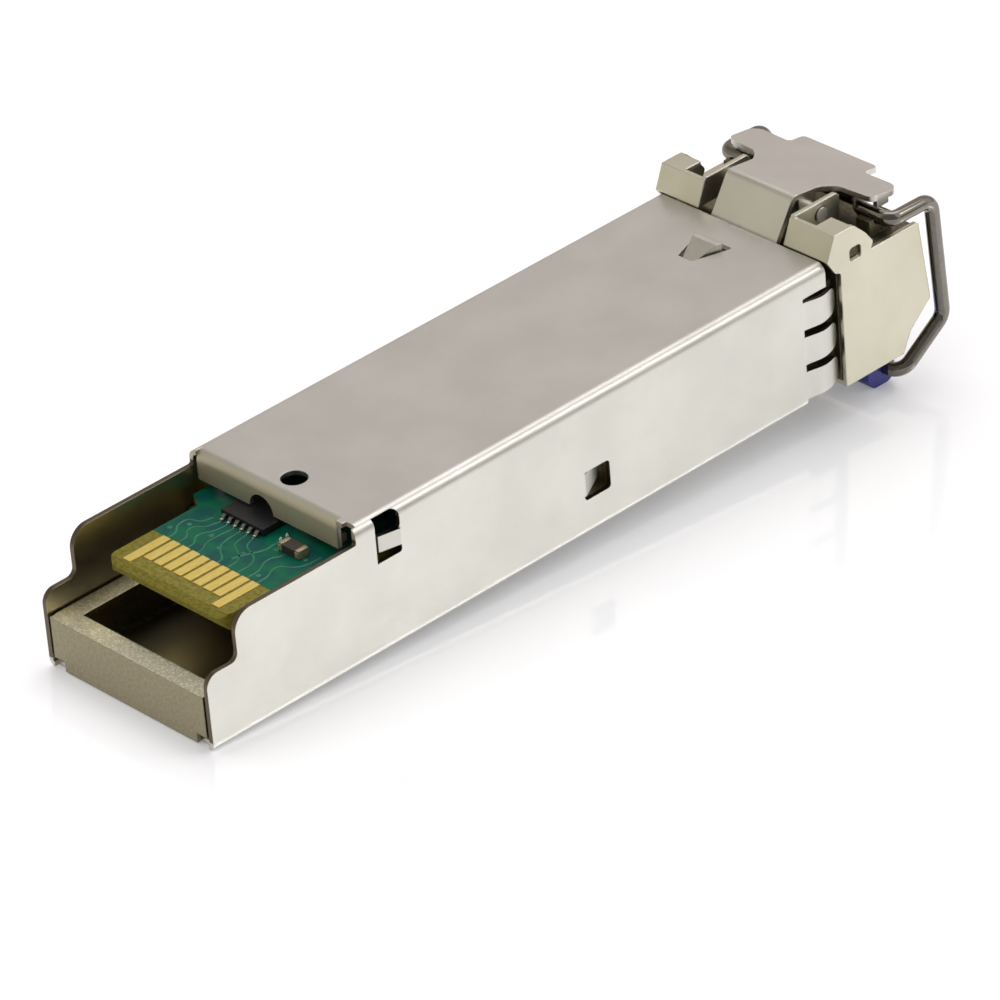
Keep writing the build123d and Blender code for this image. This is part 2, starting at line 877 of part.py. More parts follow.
def nose_side_plate():
    """Side plate with its stop extension and the hook at its top edge."""
    rear = nose_plate_rear_y
    top = nose_plate_top
    front = rear + nose_plate_top_length
    bottom_end = rear + nose_plate_bottom_length
    ear_low = module_height + running_gap
    ear_high = ear_low + ear_height
    hook = case_front + hook_length
    points = [
        (rear, 0),
        (bottom_end, 0),
        (bottom_end + nose_plate_corner_run, nose_plate_corner_rise),
        (nose_plate_front_y, nose_plate_chamfer_top),
        (front, top),
        (hook - 0.2, top),
        (hook, top + hook_rise),
        (hook - 0.6, ear_high - hook_drop),
        (hook - hook_slope, ear_high),
        (case_front + ear_lean, ear_high),
        (case_front + running_gap, ear_low),
        (case_front + ear_neck, top - 0.3),
        (rear, top - 0.5),
    ]
    radii = [0, 0, 0.3, 0.3, 0.2, 0, 0.2, 0.5, 0.4, 0, 0, 0, 0.2]
    plate = across(outline(points, radii), inner_half_nose, half_nose)
    start = case_front + hook_notch_from_stop
    end = start + hook_notch_length
    notch_top = top + hook_notch_height
    notch_points = [(start, top - 0.1), (end, top - 0.1), (end, notch_top), (start, notch_top)]
    notch = across(outline(notch_points, hook_notch_radius), inner_half_nose - 1, half_nose + 1)
    return plate - notch


def stop_ear():
    """Ear folded inwards from the side plate: leaning face, top flange, inner flange."""
    low = module_height + running_gap
    high = low + ear_height
    foot = case_front + running_gap
    head = case_front + ear_lean
    face_points = [(foot, low), (foot + shell_sheet, low), (head + shell_sheet, high), (head, high)]
    face = across(outline(face_points), ear_inner, inner_half_nose + join)
    top = block(
        (half_nose - ear_flange_width, inner_half_nose + join),
        (head, head + ear_flange_depth),
        (high - shell_sheet, high),
    )
    inner_top_z = high + ear_inner_flange_rise
    inner_end = case_front + ear_inner_flange_length
    inner_points = [
        (foot + shell_sheet - running_gap, low),
        (inner_end, low),
        (inner_end, inner_top_z),
        (head + join, inner_top_z),
    ]
    inner = across(outline(inner_points, [0, 0.3, 0.3, 0.1]), ear_inner, ear_inner + shell_sheet)
    hole_radius = rocker_pivot_radius + running_gap
    hole = rod_across(rocker_pivot_y, rocker_pivot_height, ear_inner - 1, ear_inner + 1, hole_radius)
    return face + top + inner - hole


def nose_frame():
    """Stamped sheet frame round the nose: side plates, stop ears, bottom plate."""
    rear = nose_plate_rear_y
    half = inner_half_nose + join
    bottom = block((-half, half), (rear, rear + nose_plate_bottom_length - nose_bottom_setback), (0, shell_sheet))
    return both_sides(nose_side_plate() + stop_ear()) + bottom


# Latch


def plateau_z(y):
    """Height of the rocker plateau's middle surface, which falls towards the front."""
    return plateau_height - plateau_drop * (y - plateau_start_y) / plateau_length


def rocker_outline():
    """Plan of the rocker: arm, ramp, wings and front tab."""
    arm = arm_width / 2
    ramp = ramp_width / 2
    tab = front_tab_width / 2
    rear = -boss_length - arm_past_boss
    foot = ramp_foot_y - 0.2
    half = [(arm, rear), (arm, foot - 0.4), (ramp, foot)]
    half += [(ramp, wing_start_y - 0.9), (ramp + 0.7, wing_start_y), (wing_half, wing_start_y + 0.2)]
    half += [(wing_half, wing_end_y), (tab, wing_end_y - 0.1), (tab, plateau_front_y)]
    radii = [0.3, 0, 0.2, 0.6, 0.6, 0.5, 0.8, 0.3, 0.3]
    other = [(-x, y) for x, y in reversed(half)]
    return outline(half + other, radii + radii[::-1])


def latch_boss():
    """Boss that locks behind the cage's tongue: ramp from the rear, upright shoulder."""
    side = outline(
        [
            (-boss_length, arm_height),
            (0, arm_height),
            (0, boss_top),
            (-boss_flat_length, boss_top),
            (-boss_length, module_height - boss_ramp_drop),
        ]
    )
    half_front = boss_front_width / 2
    half_rear = boss_rear_width / 2
    plan = outline([(-half_rear, -boss_length), (half_rear, -boss_length), (half_front, 0), (-half_front, 0)])
    return across(side, -half_front, half_front) & upward(plan, 0, boss_top + 1)


def latch_rocker():
    """Stamped rocker: spring arm with the boss, ramp, T-shaped plateau, turned wing tips."""
    path = FilletPolyline(
        (-boss_length - arm_past_boss, arm_height),
        (ramp_foot_y, arm_height),
        (plateau_start_y, plateau_height),
        (plateau_front_y, plateau_z(plateau_front_y)),
        radius=rocker_bend_radius,
    )
    sheet = across(strip(path, rocker_sheet), -wing_half, wing_half) & upward(rocker_outline(), 0, boss_top + 10)
    start = wing_start_y + wing_turn_inset
    middle = plateau_z(start + wing_turn_length / 2)
    turned = block(
        (wing_half - rocker_sheet, wing_half),
        (start, start + wing_turn_length),
        (middle - wing_turn_depth, middle),
    )
    side_y = rocker_pivot_y - rocker_side_back
    half_ramp = ramp_width / 2
    side = block(
        (half_ramp - rocker_sheet, half_ramp),
        (side_y, side_y + rocker_side_length),
        (rocker_pivot_height - rocker_side_depth, plateau_z(side_y + rocker_side_length)),
    )
    button_end = ear_inner + shell_sheet + join
    button = rod_across(rocker_pivot_y, rocker_pivot_height, half_ramp - join, button_end, rocker_pivot_radius)
    return sheet + latch_boss() + both_sides(turned + side + button)


def latch_spring():
    """Leaf spring on the nose block that lifts the rocker's arm."""
    low = receptacle_low_top + spring_thickness / 2
    foot_y = receptacle_rear_y + spring_foot_inset
    tip_y = receptacle_rear_y - spring_reach
    top = arm_height - rocker_sheet / 2 - spring_thickness / 2 - spring_gap
    path = FilletPolyline(
        (foot_y + spring_foot_length, low),
        (foot_y, low),
        (tip_y + spring_tip_length, top),
        (tip_y, top - spring_tip_drop),
        radius=[0.6, 0.3],
    )
    return across(strip(path, spring_thickness), -spring_width / 2, spring_width / 2)


# Bail


def bail_path():
    """Middle line of the wire, from its end in the grip round to the other end."""
    y = bail_pivot_y
    z = bail_pivot_height
    side = [
        (wire_end_gap / 2, bail_bar_y, bail_bar_height),
        (bail_half, bail_bar_y, bail_bar_height),
        (bail_half, bail_front_y + bail_slant, bail_corner_height),
        (bail_half, bail_front_y, z - running_gap),
        (bail_half, y, z),
        (crank_half_length + crank_jog, y, z),
        (crank_half_length, y + crank_offset, z),
    ]
    radii = [bail_bend_radius] * 3 + [bail_shoulder_radius] + [crank_bend_radius] * 2
    other = [(-px, py, pz) for px, py, pz in reversed(side)]
    return FilletPolyline(*side, *other, radius=radii + radii[::-1])


def bail_wire():
    """Bent round wire with a crank between its journals."""
    path = bail_path()
    start = Plane(origin=path @ 0, z_dir=path % 0)
    return sweep(start * Circle(wire_radius), path=path)


def bail_grip():
    """Moulded pull on the bail's crossbar."""
    y = bail_bar_y - grip_setback
    z = bail_bar_height - grip_drop
    half_depth = grip_depth / 2
    half_height = grip_height / 2
    half_length = bail_half - grip_side_gap
    corners = [(y - half_depth, z - half_height), (y + half_depth, z - half_height)]
    corners += [(y + half_depth, z + half_height), (y - half_depth, z + half_height)]
    grip = across(outline(corners, grip_rounding), -half_length, half_length)
    return grip - rod_across(bail_bar_y, bail_bar_height, -half_length - 1, half_length + 1, wire_radius)


transmit_x = -port_pitch / 2
receive_x = port_pitch / 2
pieces = {
    "outer_shell": outer_shell(),
    "base_housing": base_housing(),
    "label_plate": label_plate(),
    "label_sheet": label_sheet(),
    "circuit_board": circuit_board(),
    "latch_side_pads": latch_side_pads(),
    "label_side_pads": label_side_pads(),
    "driver_chip": driver_chip(),
    "chip_legs": chip_legs(),
    "amplifier_chip": amplifier_chip(),
    "memory_chip": memory_chip(),
    "chip_capacitors": chip_capacitors(),
    "chip_resistors": chip_resistors(),
    "transmitter_can": optical_can(transmit_x),
    "receiver_can": optical_can(receive_x),
    "transmitter_barrel": optical_barrel(transmit_x),
    "receiver_barrel": optical_barrel(receive_x),
    "transmit_sleeve": ferrule_sleeve(transmit_x),
    "receive_sleeve": ferrule_sleeve(receive_x),
    "transmit_stub": fibre_stub(transmit_x),
    "receive_stub": fibre_stub(receive_x),
    "transmit_flex": flex_circuit(transmit_x),
    "receive_flex": flex_circuit(receive_x),
    "optics_clamp": optics_clamp(),
    "receptacle_body": receptacle_body(),
    "nose_frame": nose_frame(),
    "latch_rocker": latch_rocker(),
    "latch_spring": latch_spring(),
    "bail_wire": bail_wire(),
    "bail_grip": bail_grip(),
}

os.makedirs("parts", exist_ok=True)
for name, piece in pieces.items():
    export_step(piece, f"parts/{name}.step")
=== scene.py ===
import math

import bpy
import numpy as np
from mathutils import Matrix, Vector


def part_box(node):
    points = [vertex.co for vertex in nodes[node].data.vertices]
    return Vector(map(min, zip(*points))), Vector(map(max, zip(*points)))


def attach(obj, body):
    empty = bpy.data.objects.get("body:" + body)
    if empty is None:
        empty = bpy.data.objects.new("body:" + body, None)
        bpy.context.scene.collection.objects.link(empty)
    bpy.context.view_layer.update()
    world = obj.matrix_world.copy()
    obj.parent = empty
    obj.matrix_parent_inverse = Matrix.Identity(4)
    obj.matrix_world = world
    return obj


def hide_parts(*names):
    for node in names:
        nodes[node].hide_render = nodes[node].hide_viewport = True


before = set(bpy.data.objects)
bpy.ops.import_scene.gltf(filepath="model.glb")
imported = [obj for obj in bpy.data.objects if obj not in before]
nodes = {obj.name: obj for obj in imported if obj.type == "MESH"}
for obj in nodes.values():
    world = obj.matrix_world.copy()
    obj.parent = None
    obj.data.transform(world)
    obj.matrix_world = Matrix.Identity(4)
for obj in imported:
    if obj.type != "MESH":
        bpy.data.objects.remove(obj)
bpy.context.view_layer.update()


# Base housing: the tray inside the case, a zinc die casting, tumbled and nickel plated.
# It is pushed into the folded case and held by the catches of the side windows.

MM = 0.001


def linear(colour):
    """An sRGB hex colour as linear RGBA: ((c + 0.055) / 1.055) ** 2.4 above the toe of the
    curve, and c / 12.92 in it."""
    c = np.array([int(colour[i:i + 2], 16) for i in (1, 3, 5)]) / 255
    c = np.where(c > 0.04045, ((c + 0.055) / 1.055) ** 2.4, c / 12.92)
    return (*c.tolist(), 1.0)


def add(tree, kind, inputs=None, out=0, **settings):
    """Adds a shader node with its settings and links, and returns the output that out names,
    or the node where out is None. inputs are values, or the sockets that feed it."""
    node = tree.nodes.new("ShaderNode" + kind)
    for key, value in settings.items():
        setattr(node, key, value)
    for key, value in (inputs or {}).items():
        if isinstance(value, bpy.types.NodeSocket):
            tree.links.new(value, node.inputs[key])
        else:
            node.inputs[key].default_value = value
    return node if out is None else node.outputs[out]


def finish_material(name, tree_maker):
    """A material with an empty tree that tree_maker fills and ends in a surface."""
    material = bpy.data.materials.new(name)
    material.use_nodes = True
    tree = material.node_tree
    tree.nodes.clear()
    add(tree, "OutputMaterial", {"Surface": tree_maker(tree)}, None)
    return material


def grained(tree, light, dark, grain, roughness, depth, edge=0.04, stretch=(1, 1, 1)):
    """Tone, roughness and normal of a grained surface. Noise of the grain's size in mm, drawn out
    by the stretch, mixes two tones, moves the roughness between its two values, and stands
    depth mm high; edges catch the light as if rounded by edge mm."""
    place = add(tree, "TexCoord", out="Object")
    drawn = add(tree, "Mapping", {"Vector": place, "Scale": tuple(1 / s for s in stretch)})
    pattern = add(tree, "TexNoise", {"Vector": drawn, "Scale": 1 / (grain * MM), "Detail": 3.0})
    share = add(tree, "MapRange", {"Value": pattern, "From Min": 0.35, "From Max": 0.65})
    tone = add(tree, "Mix", {0: share, 6: linear(light), 7: linear(dark)}, 2, data_type="RGBA")
    gloss = add(tree, "MapRange", {
        "Value": pattern, "From Min": 0.3, "From Max": 0.7,
        "To Min": roughness[0], "To Max": roughness[1],
    })
    rounded = add(tree, "Bevel", {"Radius": edge * MM}, samples=4)
    bumps = add(tree, "Bump", {"Height": pattern, "Distance": depth * MM, "Normal": rounded})
    return {"Base Color": tone, "Roughness": gloss, "Normal": bumps}


def dress(material, *names):
    """Gives CAD nodes their material."""
    for name in names:
        mesh = nodes[name].data
        mesh.materials.clear()
        mesh.materials.append(material)


PEBBLE = 0.2
FLAKE = 0.1


def cast_nickel_surface(tree):
    """Nickel over tumbled zinc. Faces that look up are painted lighter, as painted light, and
    single flat grains on them are painted near-white, as painted glints."""
    surface = grained(tree, "#9e967e", "#948c74", PEBBLE, (0.32, 0.45), 0.012, edge=0.1)
    place = add(tree, "TexCoord", out="Object")
    upward = add(tree, "SeparateXYZ", {0: add(tree, "NewGeometry", out="True Normal")}, "Z")
    level = add(tree, "MapRange", {"Value": upward, "From Min": 0.7, "From Max": 0.9})
    # Painted light and painted glints on faces that look up: a lighter tone, and near-white grains.
    flakes = add(tree, "TexVoronoi", {"Vector": place, "Scale": 1 / (FLAKE * MM)}, "Color")
    bright = add(tree, "MapRange", {
        "Value": add(tree, "SeparateColor", {0: flakes}), "From Min": 0.4, "From Max": 1.0,
    })
    painted_glint = add(tree, "Math", {0: bright, 1: level}, operation="MULTIPLY")
    painted_light = add(tree, "Mix", {
        0: level, 6: surface["Base Color"], 7: linear("#cbc6ac"),
    }, 2, data_type="RGBA")
    tone = add(tree, "Mix", {0: painted_glint, 6: painted_light, 7: linear("#ece8da")}, 2, data_type="RGBA")
    return add(tree, "BsdfPrincipled", {**surface, "Base Color": tone, "Metallic": 1.0})


# Nickel over tumbled zinc: metallic, half rough and olive in tone. Its pebbles are 0.2 mm, and
# its painted glints, which show as a fine sparkle on faces that look up, are 0.1 mm.
cast_nickel = finish_material("nickel_plated_zinc_casting", cast_nickel_surface)
dress(cast_nickel, "base_housing")


# Label plate and label: a flat nickel-plated steel cover, slid between the case's turned-in
# flanges, and the adhesive vinyl label in its recess, which is bare.

ROLLING_PITCH = 0.07
ROLLING_STRETCH = 14
PEEL = 0.16
TONE_PATCH = 4
SHEET_RELIEF = 0.0035


def satin_nickel(tree, light, dark, roughness, edge=0.07):
    """Tone, roughness and normal of satin nickel on rolled sheet. Rolling lines 0.07 mm apart
    along the module, coarser than real ones so that they show, and an orange peel of 0.16 mm
    move the roughness and the bump, and the tone drifts over patches of 4 mm. Where the rounded
    normal leaves the face's own, the edge is smoother, and its colour is lighter: a painted
    highlight."""
    place = add(tree, "TexCoord", out="Object")
    along = add(tree, "Mapping", {"Vector": place, "Scale": (1, 1 / ROLLING_STRETCH, 1)})
    lines = add(tree, "TexNoise", {
        "Vector": along, "Scale": 1 / (ROLLING_PITCH * MM), "Detail": 2.0,
    })
    peel = add(tree, "TexNoise", {
        "Vector": place, "Scale": 1 / (PEEL * MM), "Detail": 3.0, "Roughness": 0.6,
    })
    both = add(tree, "Math", {0: lines, 1: peel}, operation="ADD")
    patch = add(tree, "TexNoise", {
        "Vector": place, "Scale": 1 / (TONE_PATCH * MM), "Detail": 3.0,
    })
    share = add(tree, "MapRange", {"Value": patch, "From Min": 0.3, "From Max": 0.7})
    tone = add(tree, "Mix", {0: share, 6: linear(light), 7: linear(dark)}, 2, data_type="RGBA")
    rounded = add(tree, "Bevel", {"Radius": edge * MM}, samples=4)
    flat = add(tree, "NewGeometry", out="True Normal")
    agree = add(tree, "VectorMath", {0: rounded, 1: flat}, "Value", operation="DOT_PRODUCT")
    # Painted highlight: edges are lighter in colour; they are also smoother.
    painted_light = add(tree, "MapRange", {
        "Value": agree, "From Min": 0.99, "From Max": 0.85, "To Max": 0.7,
    })
    edged = add(tree, "Mix", {0: painted_light, 6: tone, 7: linear("#f4f1e8")}, 2, data_type="RGBA")
    gloss = add(tree, "MapRange", {
        "Value": both, "From Min": 0.7, "From Max": 1.3,
        "To Min": roughness - 0.05, "To Max": roughness + 0.06,
    })
    smooth = add(tree, "Mix", {0: painted_light, 2: gloss, 3: 0.18})
    bumps = add(tree, "Bump", {
        "Height": both, "Distance": SHEET_RELIEF * MM, "Normal": rounded,
    })
    return {"Base Color": edged, "Roughness": smooth, "Normal": bumps, "Metallic": 1.0}


def cover_surface(tree):
    """Satin outside; the inner side, which looks up, is painted darker and yellower: painted shade.
    """
    surface = satin_nickel(tree, "#cfcec8", "#c6c5bf", 0.34)
    upward = add(tree, "SeparateXYZ", {0: add(tree, "NewGeometry", out="True Normal")}, "Z")
    # Painted shade on the inner side.
    painted_inner_shade = add(tree, "MapRange", {"Value": upward, "From Min": 0.4, "From Max": 0.6})
    tone = add(tree, "Mix", {
        0: painted_inner_shade, 6: surface["Base Color"], 7: linear("#c2b795"),
    }, 2, data_type="RGBA")
    return add(tree, "BsdfPrincipled", {**surface, "Base Color": tone})


# Satin nickel: a soft, slightly lined metal, nearly neutral in colour.
dress(finish_material("satin_nickel_on_cover_sheet", cover_surface), "label_plate")

# White vinyl label stock: matt, with a slight mottle of 0.4 mm in the adhesive below.
vinyl = finish_material("white_vinyl_label", lambda tree: add(
    tree, "BsdfPrincipled", grained(tree, "#ecebe6", "#e2e1dc", 0.4, (0.5, 0.6), 0.004)
))
dress(vinyl, "label_sheet")


# Circuit board: a glass-epoxy card 1 mm thick. Green solder mask covers it from the pads
# forwards; the tongue behind that border and all cut edges are bare laminate.
# It lies on the housing's rails, between the case's side tabs.

MASK_START = -38.4 * MM
CARD_TOP = 6.15 * MM
WEAVE = 0.25
COPPER_PATCH = 1.3


def card_surface(tree):
    """Laminate, and solder mask on its two broad faces from the border forwards. The mask is
    deeper in tone where there is no copper below it. Both mirror little, so the green shows."""
    surface = grained(
        tree, "#857c2c", "#6b6220", WEAVE, (0.4, 0.5), 0.006, edge=0.05, stretch=(1, 1, 0.3),
    )
    place = add(tree, "TexCoord", out="Object")
    along = add(tree, "SeparateXYZ", {0: place}, "Y")
    upward = add(tree, "SeparateXYZ", {0: add(tree, "NewGeometry", out="True Normal")}, "Z")
    flatness = add(tree, "Math", {0: upward}, operation="ABSOLUTE")
    broad = add(tree, "Math", {0: flatness, 1: 0.9}, operation="GREATER_THAN")
    ahead = add(tree, "Math", {0: along, 1: MASK_START}, operation="GREATER_THAN")
    masked = add(tree, "Math", {0: broad, 1: ahead}, operation="MULTIPLY")
    copper = add(tree, "TexNoise", {
        "Vector": place, "Scale": 1 / (COPPER_PATCH * MM), "Detail": 2.0,
    })
    share = add(tree, "MapRange", {"Value": copper, "From Min": 0.42, "From Max": 0.58})
    green = add(tree, "Mix", {
        0: share, 6: linear("#045f43"), 7: linear("#0b4d48"),
    }, 2, data_type="RGBA")
    tone = add(tree, "Mix", {0: masked, 6: surface["Base Color"], 7: green}, 2, data_type="RGBA")
    gloss = add(tree, "Mix", {0: masked, 2: surface["Roughness"], 3: 0.3})
    return add(tree, "BsdfPrincipled", {
        **surface, "Base Color": tone, "Roughness": gloss, "Specular IOR Level": 0.15,
    })


# Glass-epoxy laminate: olive, with a faint weave of 0.25 mm, under a glossy green mask.
dress(finish_material("glass_epoxy_card_with_solder_mask", card_surface), "circuit_board")


def piece_from(name, vertices, faces, material, body):
    """A smooth piece from an array of vertices and a list of faces, riding on a body."""
    mesh = bpy.data.meshes.new(name)
    mesh.from_pydata(vertices.tolist(), [], [list(map(int, face)) for face in faces])
    mesh.materials.append(material)
    mesh.shade_smooth()
    piece = bpy.data.objects.new(name, mesh)
    bpy.context.scene.collection.objects.link(piece)
    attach(piece, body)
    return piece


def grid_faces(rows, columns, closed):
    """Quads of a grid of vertices, row after row; closed joins its last column to its first."""
    last = columns if closed else columns - 1
    i, j = np.meshgrid(np.arange(rows - 1), np.arange(last), indexing="ij")
    k = (j + 1) % columns
    corners = [i * columns + j, i * columns + k, (i + 1) * columns + k, (i + 1) * columns + j]
    return np.stack(corners, axis=-1).reshape(-1, 4)


def curved_track(corners, width, low, high, steps=8):
    """A raised track along a quadratic B-spline of its corners: on each span
    (a + b) / 2 (1 - t)^2 + 2 b t (1 - t) + (b + c) / 2 t^2. Its section is a trapezoid."""
    p = np.array(corners, float)
    a, b, c = p[:-2], p[1:-1], p[2:]
    t = np.linspace(0, 1, steps)[1:, None, None]
    body = (a + b) / 2 * (1 - t) ** 2 + 2 * b * t * (1 - t) + (b + c) / 2 * t ** 2
    path = np.vstack([p[:1], (p[:1] + p[1:2]) / 2, body.transpose(1, 0, 2).reshape(-1, 2), p[-1:]])
    step = np.gradient(path, axis=0)
    step /= np.linalg.norm(step, axis=1)[:, None]
    side = np.stack([-step[:, 1], step[:, 0]], axis=1)
    across = np.array([0.5, 0.35, -0.35, -0.5]) * width
    flat = path[:, None, :] + side[:, None, :] * across[None, :, None]
    level = np.broadcast_to(np.array([low, high, high, low])[None, :, None], (len(path), 4, 1))
    return np.concatenate([flat, level], axis=2).reshape(-1, 3), grid_faces(len(path), 4, False)


def domes(centres, radii, low, height, power=2.0, rings=6, sides=16):
    """Low mounds: at the share s of the radius the height is height * (1 - s^power)."""
    s = np.linspace(1, 0.04, rings)
    angle = np.linspace(0, 2 * math.pi, sides, endpoint=False)
    c = np.array(centres, float)[:, None, None, :]
    r = np.array(radii, float)[:, None, None, :]
    circle = np.stack([np.cos(angle), np.sin(angle)], axis=-1)[None, None]
    flat = c + r * circle * s[None, :, None, None]
    level = (low + height * (1 - s ** power))[None, :, None, None]
    level = np.broadcast_to(level, flat.shape[:3] + (1,))
    vertices = np.concatenate([flat, level], axis=3).reshape(-1, 3)
    start = np.arange(len(c))[:, None, None] * rings * sides
    walls = (grid_faces(rings, sides, True)[None] + start).reshape(-1, 4)
    caps = (rings - 1) * sides + np.arange(sides)[None] + start[:, 0]
    return vertices, list(walls) + list(caps)


# Tracks and vias: copper under the mask, from the pads to the chips. Tracks stand 0.015 mm
# proud and vias 0.02 mm, and the mask looks lighter on them.
TRACKS = [
    ([
        (-3.6, -38.4), (-3.6, -37.7), (-4.2, -37.2), (-4.2, -36.3), (-3.4, -36.2), (-3.2, -35.4),
    ], 0.15),
    ([
        (-2.8, -38.4), (-2.8, -37.6), (-3.3, -37.3), (-3.4, -36.7), (-2.8, -36.4), (-2.6, -35.5),
    ], 0.13),
    ([
        (-2.0, -38.4), (-2.0, -37.8), (-2.5, -37.4), (-2.5, -36.9), (-2.1, -36.3), (-2.05, -35.5),
    ], 0.13),
    ([(-1.2, -38.4), (-1.2, -37.9), (-1.6, -37.4), (-1.6, -36.6), (-1.5, -35.5)], 0.13),
    ([(0.4, -38.4), (0.4, -37.9), (-0.3, -37.5), (-0.9, -36.9), (-1.0, -35.5)], 0.13),
    ([(1.2, -38.4), (1.2, -37.5), (0.6, -36.9), (-0.3, -36.6), (-0.45, -35.5)], 0.13),
    ([(2.0, -38.4), (2.0, -37.2), (1.5, -36.6), (0.4, -36.3), (0.1, -35.5)], 0.13),
    ([(2.8, -38.4), (2.8, -37.4), (2.4, -36.8), (2.3, -36.2), (2.6, -35.8), (2.7, -35.3)], 0.15),
    ([
        (3.6, -38.4), (3.6, -37.5), (3.2, -36.9), (3.3, -36.4),
        (4.1, -36.0), (4.4, -35.3), (4.4, -34.4),
    ], 0.15),
    ([(0.7, -37.6), (0.9, -37.0), (1.5, -35.9), (1.4, -35.0), (1.4, -34.4)], 0.2),
]
VIAS = [
    (-4.3, -37.6), (-3.7, -36.7), (-1.9, -36.7), (-0.6, -37.3),
    (0.8, -36.8), (3.1, -37.8), (3.9, -35.1), (1.9, -35.4),
]
SUNK = 0.005 * MM
TRACK_RISE = 0.015 * MM
VIA_RADIUS = 0.17 * MM
VIA_HEIGHT = 0.025 * MM

mask_on_copper = finish_material("solder_mask_over_copper", lambda tree: add(
    tree, "BsdfPrincipled", grained(tree, "#127653", "#0a6047", 0.8, (0.25, 0.35), 0.002)
))
low, high = CARD_TOP - SUNK, CARD_TOP + TRACK_RISE
shapes = [
    curved_track(np.array(corners) * MM, width * MM, low, high) for corners, width in TRACKS
]
via_radii = np.full((len(VIAS), 2), VIA_RADIUS)
shapes.append(domes(np.array(VIAS) * MM, via_radii, low, VIA_HEIGHT, power=6))
starts = np.cumsum([0] + [len(points) for points, _ in shapes])
piece_from(
    "mask_tracks",
    np.vstack([points for points, _ in shapes]),
    [np.array(face) + start for (_, faces), start in zip(shapes, starts) for face in faces],
    mask_on_copper, "module",
)


# Contact pads: hard gold over nickel, ten on each face of the card. Mating has rubbed them
# satin along the module, with marks drawn 0.09 mm apart so that they show.
gold = finish_material("hard_gold_plating", lambda tree: add(tree, "BsdfPrincipled", {
    **grained(tree, "#fae48b", "#ebcf6f", 0.09, (0.28, 0.42), 0.003, edge=0.02, stretch=(1, 8, 1)),
    "Metallic": 1.0,
}))
dress(gold, "latch_side_pads", "label_side_pads")


# Chips: the driver, amplifier and memory are moulded packages on the card. The driver has six
# bent legs on each of two sides, soldered to the card.

# Moulded black epoxy, spark-eroded in the mould: matt, with a grit of 0.06 mm.
epoxy = finish_material("moulded_black_epoxy", lambda tree: add(
    tree, "BsdfPrincipled", grained(tree, "#1c1c22", "#121216", 0.06, (0.4, 0.55), 0.01)
))
dress(epoxy, "driver_chip", "amplifier_chip", "memory_chip")

# Tin plating and solder: silver, softly crystalline. The legs' tin is rougher, and painted darker
# as painted shade.
tin = finish_material("bright_tin_and_solder", lambda tree: add(tree, "BsdfPrincipled", {
    **grained(tree, "#f2f1ec", "#d9d8d2", 0.08, (0.16, 0.3), 0.003), "Metallic": 1.0,
}))

tin_with_painted_shade = finish_material("tin_on_legs_with_painted_shade", lambda tree: add(tree, "BsdfPrincipled", {
    **grained(tree, "#8d8b86", "#75736e", 0.08, (0.35, 0.5), 0.003), "Metallic": 1.0,
}))

LEG_COUNT = 6
LEG_PITCH = 0.535 * MM
LEG_WIDTH = 0.24 * MM
LEG_SHEET = 0.1 * MM
ROOT_DEPTH = 0.02 * MM
low_corner, high_corner = (np.array(corner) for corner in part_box("chip_legs"))
body_low, body_high = (np.array(corner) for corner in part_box("driver_chip"))
leg_steps = np.arange(LEG_COUNT) - (LEG_COUNT - 1) / 2
leg_x = (low_corner[0] + high_corner[0]) / 2 + leg_steps * LEG_PITCH


def gull_legs(tip_y, root_y, rows=13):
    """Bent legs. The middle line falls from the package to the card as a smooth step,
    z = foot + rise * (3 u^2 - 2 u^3), u going from 0 to 1 between 0.35 and 0.75 of the run.
    A band of the sheet's thickness follows it, a tenth of that off the card, and x repeats it
    for every leg."""
    run = np.linspace(0, 1, rows)
    u = np.clip((run - 0.35) / 0.4, 0, 1)
    foot = CARD_TOP + LEG_SHEET * 0.6
    z = foot + ((body_low[2] + body_high[2]) / 2 - foot) * (3 * u ** 2 - 2 * u ** 3)
    y = tip_y + (root_y - tip_y) * run
    forward = np.sign(root_y - tip_y)
    lean = np.stack([-np.gradient(z), np.gradient(y)], axis=1) * forward
    half = lean / np.linalg.norm(lean, axis=1)[:, None] * LEG_SHEET / 2
    ring = np.stack([
        np.column_stack([
            np.full(rows, side * LEG_WIDTH), y + sign * half[:, 0], z + sign * half[:, 1],
        ])
        for side, sign in ((-0.5, 1), (0.5, 1), (0.5, -1), (-0.5, -1))
    ], axis=1)[:, ::int(forward)]
    legs = np.repeat(ring[None], LEG_COUNT, axis=0)
    legs[..., 0] += leg_x[:, None, None]
    start = np.arange(LEG_COUNT)[:, None, None] * rows * 4
    walls = (grid_faces(rows, 4, True)[None] + start).reshape(-1, 4)
    tips = np.arange(4)[::-1][None] + start[:, 0]
    roots = (rows - 1) * 4 + np.arange(4)[None] + start[:, 0]
    return legs.reshape(-1, 3), np.concatenate([walls, tips, roots])


rear_points, rear_faces = gull_legs(low_corner[1], body_low[1] + ROOT_DEPTH)
front_points, front_faces = gull_legs(high_corner[1], body_high[1] - ROOT_DEPTH)
legs = piece_from(
    "bent_legs",
    np.vstack([rear_points, front_points]),
    np.concatenate([rear_faces, front_faces + len(rear_points)]),
    tin_with_painted_shade, "module",
)
legs.data.shade_flat()
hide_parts("chip_legs")

